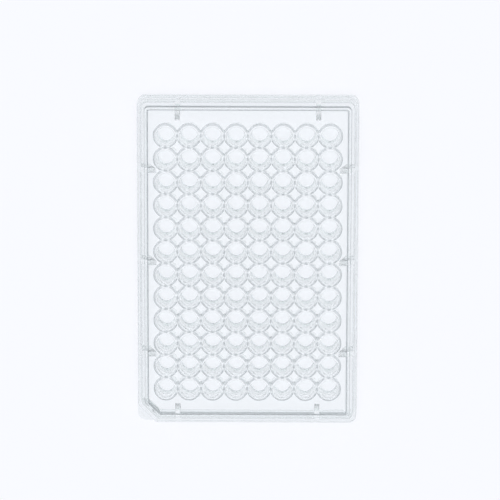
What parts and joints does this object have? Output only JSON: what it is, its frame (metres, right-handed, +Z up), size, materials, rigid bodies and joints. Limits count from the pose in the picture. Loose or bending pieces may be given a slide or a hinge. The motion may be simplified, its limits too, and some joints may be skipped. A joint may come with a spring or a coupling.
{
  "type": "well plate",
  "caption": "Clear rectangular well plate with a grid of round flat-bottomed wells, a raised rim, a skirt with one cut corner and an open underside.",
  "frame": {"origin": "centre of the foot's outline, on the table", "axes": "+X along the length, from column 1 to column 12; +Y across the width, towards row A; +Z up out of the wells"},
  "size_m": [0.1278, 0.0854, 0.0143],
  "materials": {
    "clear_polystyrene": "polished"
  },
  "bodies": {
    "root": {"well_plate": "clear_polystyrene"}
  },
  "joints": []
}
